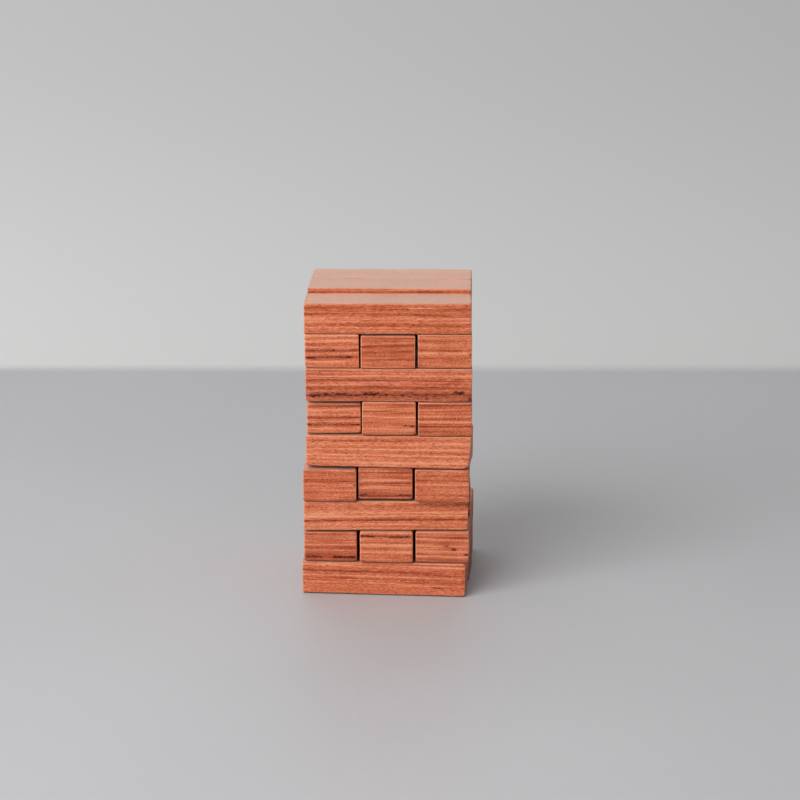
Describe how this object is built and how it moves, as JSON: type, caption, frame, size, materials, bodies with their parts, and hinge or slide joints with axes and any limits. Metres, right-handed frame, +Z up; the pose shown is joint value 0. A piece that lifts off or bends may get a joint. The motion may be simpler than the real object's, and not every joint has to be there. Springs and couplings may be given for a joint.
{
  "type": "tumbling tower game",
  "caption": "Stacking-game tower of loose wooden blocks in courses of three, each course crosswise to the one below, with every block free to slide out lengthwise.",
  "frame": {"origin": "middle of the bottom face of the bottom course's middle block, which stands on the table", "axes": "+Z up the tower; +X to the right along the blocks of the odd courses; +Y from the front to the back along the blocks of the even courses"},
  "size_m": [0.078, 0.0785, 0.1384],
  "materials": {
    "stained_wood_pale": "satin orange-red stain, worn pale on the faces",
    "stained_wood_warm": "satin brick-red stain with lighter growth bands",
    "stained_wood_dark": "satin dark-red stain with purple-brown streaks"
  },
  "bodies": {
    "course_1_front": {"course_1_front": "stained_wood_warm"},
    "course_1_middle": {"course_1_middle": "stained_wood_dark"},
    "course_1_back": {"course_1_back": "stained_wood_warm"},
    "course_2_left": {"course_2_left": "stained_wood_dark"},
    "course_2_middle": {"course_2_middle": "stained_wood_warm"},
    "course_2_right": {"course_2_right": "stained_wood_dark"},
    "course_3_front": {"course_3_front": "stained_wood_pale"},
    "course_3_middle": {"course_3_middle": "stained_wood_warm"},
    "course_3_back": {"course_3_back": "stained_wood_warm"},
    "course_4_left": {"course_4_left": "stained_wood_warm"},
    "course_4_middle": {"course_4_middle": "stained_wood_dark"},
    "course_4_right": {"course_4_right": "stained_wood_warm"},
    "course_5_front": {"course_5_front": "stained_wood_pale"},
    "course_5_middle": {"course_5_middle": "stained_wood_warm"},
    "course_5_back": {"course_5_back": "stained_wood_pale"},
    "course_6_left": {"course_6_left": "stained_wood_warm"},
    "course_6_middle": {"course_6_middle": "stained_wood_pale"},
    "course_6_right": {"course_6_right": "stained_wood_warm"},
    "course_7_front": {"course_7_front": "stained_wood_dark"},
    "course_7_middle": {"course_7_middle": "stained_wood_warm"},
    "course_7_back": {"course_7_back": "stained_wood_dark"},
    "course_8_left": {"course_8_left": "stained_wood_warm"},
    "course_8_middle": {"course_8_middle": "stained_wood_warm"},
    "course_8_right": {"course_8_right": "stained_wood_pale"},
    "course_9_front": {"course_9_front": "stained_wood_pale"},
    "course_9_middle": {"course_9_middle": "stained_wood_pale"},
    "course_9_back": {"course_9_back": "stained_wood_pale"}
  },
  "joints": [
    {"name": "course_1_front_slide", "type": "slide", "parent": "course_1_middle", "child": "course_1_front", "axis": [0.999, -0.0454, 0], "range_m": [-0.075, 0.075]},
    {"name": "course_1_back_slide", "type": "slide", "parent": "course_1_middle", "child": "course_1_back", "axis": [0.999, -0.0454, 0], "range_m": [-0.075, 0.075]},
    {"name": "course_2_left_slide", "type": "slide", "parent": "course_1_middle", "child": "course_2_left", "axis": [-0.014, -0.9999, 0], "range_m": [-0.075, 0.075]},
    {"name": "course_2_middle_slide", "type": "slide", "parent": "course_1_middle", "child": "course_2_middle", "axis": [-0.014, -0.9999, 0], "range_m": [-0.075, 0.075]},
    {"name": "course_2_right_slide", "type": "slide", "parent": "course_1_middle", "child": "course_2_right", "axis": [-0.014, -0.9999, 0], "range_m": [-0.075, 0.075]},
    {"name": "course_3_front_slide", "type": "slide", "parent": "course_1_middle", "child": "course_3_front", "axis": [0.9997, 0.0244, 0], "range_m": [-0.075, 0.075]},
    {"name": "course_3_middle_slide", "type": "slide", "parent": "course_1_middle", "child": "course_3_middle", "axis": [0.9997, 0.0244, 0], "range_m": [-0.075, 0.075]},
    {"name": "course_3_back_slide", "type": "slide", "parent": "course_1_middle", "child": "course_3_back", "axis": [0.9997, 0.0244, 0], "range_m": [-0.075, 0.075]},
    {"name": "course_4_left_slide", "type": "slide", "parent": "course_1_middle", "child": "course_4_left", "axis": [0, -1, 0], "range_m": [-0.075, 0.075]},
    {"name": "course_4_middle_slide", "type": "slide", "parent": "course_1_middle", "child": "course_4_middle", "axis": [0, -1, 0], "range_m": [-0.075, 0.075]},
    {"name": "course_4_right_slide", "type": "slide", "parent": "course_1_middle", "child": "course_4_right", "axis": [0, -1, 0], "range_m": [-0.075, 0.075]},
    {"name": "course_5_front_slide", "type": "slide", "parent": "course_1_middle", "child": "course_5_front", "axis": [0.9996, -0.0297, 0], "range_m": [-0.075, 0.075]},
    {"name": "course_5_middle_slide", "type": "slide", "parent": "course_1_middle", "child": "course_5_middle", "axis": [0.9996, -0.0297, 0], "range_m": [-0.075, 0.075]},
    {"name": "course_5_back_slide", "type": "slide", "parent": "course_1_middle", "child": "course_5_back", "axis": [0.9996, -0.0297, 0], "range_m": [-0.075, 0.075]},
    {"name": "course_6_left_slide", "type": "slide", "parent": "course_1_middle", "child": "course_6_left", "axis": [0.0122, -0.9999, 0], "range_m": [-0.075, 0.075]},
    {"name": "course_6_middle_slide", "type": "slide", "parent": "course_1_middle", "child": "course_6_middle", "axis": [0.0122, -0.9999, 0], "range_m": [-0.075, 0.075]},
    {"name": "course_6_right_slide", "type": "slide", "parent": "course_1_middle", "child": "course_6_right", "axis": [0.0122, -0.9999, 0], "range_m": [-0.075, 0.075]},
    {"name": "course_7_front_slide", "type": "slide", "parent": "course_1_middle", "child": "course_7_front", "axis": [0.9998, 0.0209, 0], "range_m": [-0.075, 0.075]},
    {"name": "course_7_middle_slide", "type": "slide", "parent": "course_1_middle", "child": "course_7_middle", "axis": [0.9998, 0.0209, 0], "range_m": [-0.075, 0.075]},
    {"name": "course_7_back_slide", "type": "slide", "parent": "course_1_middle", "child": "course_7_back", "axis": [0.9998, 0.0209, 0], "range_m": [-0.075, 0.075]},
    {"name": "course_8_left_slide", "type": "slide", "parent": "course_1_middle", "child": "course_8_left", "axis": [0.0192, -0.9998, 0], "range_m": [-0.075, 0.075]},
    {"name": "course_8_middle_slide", "type": "slide", "parent": "course_1_middle", "child": "course_8_middle", "axis": [0.0192, -0.9998, 0], "range_m": [-0.075, 0.075]},
    {"name": "course_8_right_slide", "type": "slide", "parent": "course_1_middle", "child": "course_8_right", "axis": [0.0192, -0.9998, 0], "range_m": [-0.075, 0.075]},
    {"name": "course_9_front_slide", "type": "slide", "parent": "course_1_middle", "child": "course_9_front", "axis": [1, 0.0087, 0], "range_m": [-0.075, 0.075]},
    {"name": "course_9_middle_slide", "type": "slide", "parent": "course_1_middle", "child": "course_9_middle", "axis": [1, 0.0087, 0], "range_m": [-0.075, 0.075]},
    {"name": "course_9_back_slide", "type": "slide", "parent": "course_1_middle", "child": "course_9_back", "axis": [1, 0.0087, 0], "range_m": [-0.075, 0.075]}
  ]
}
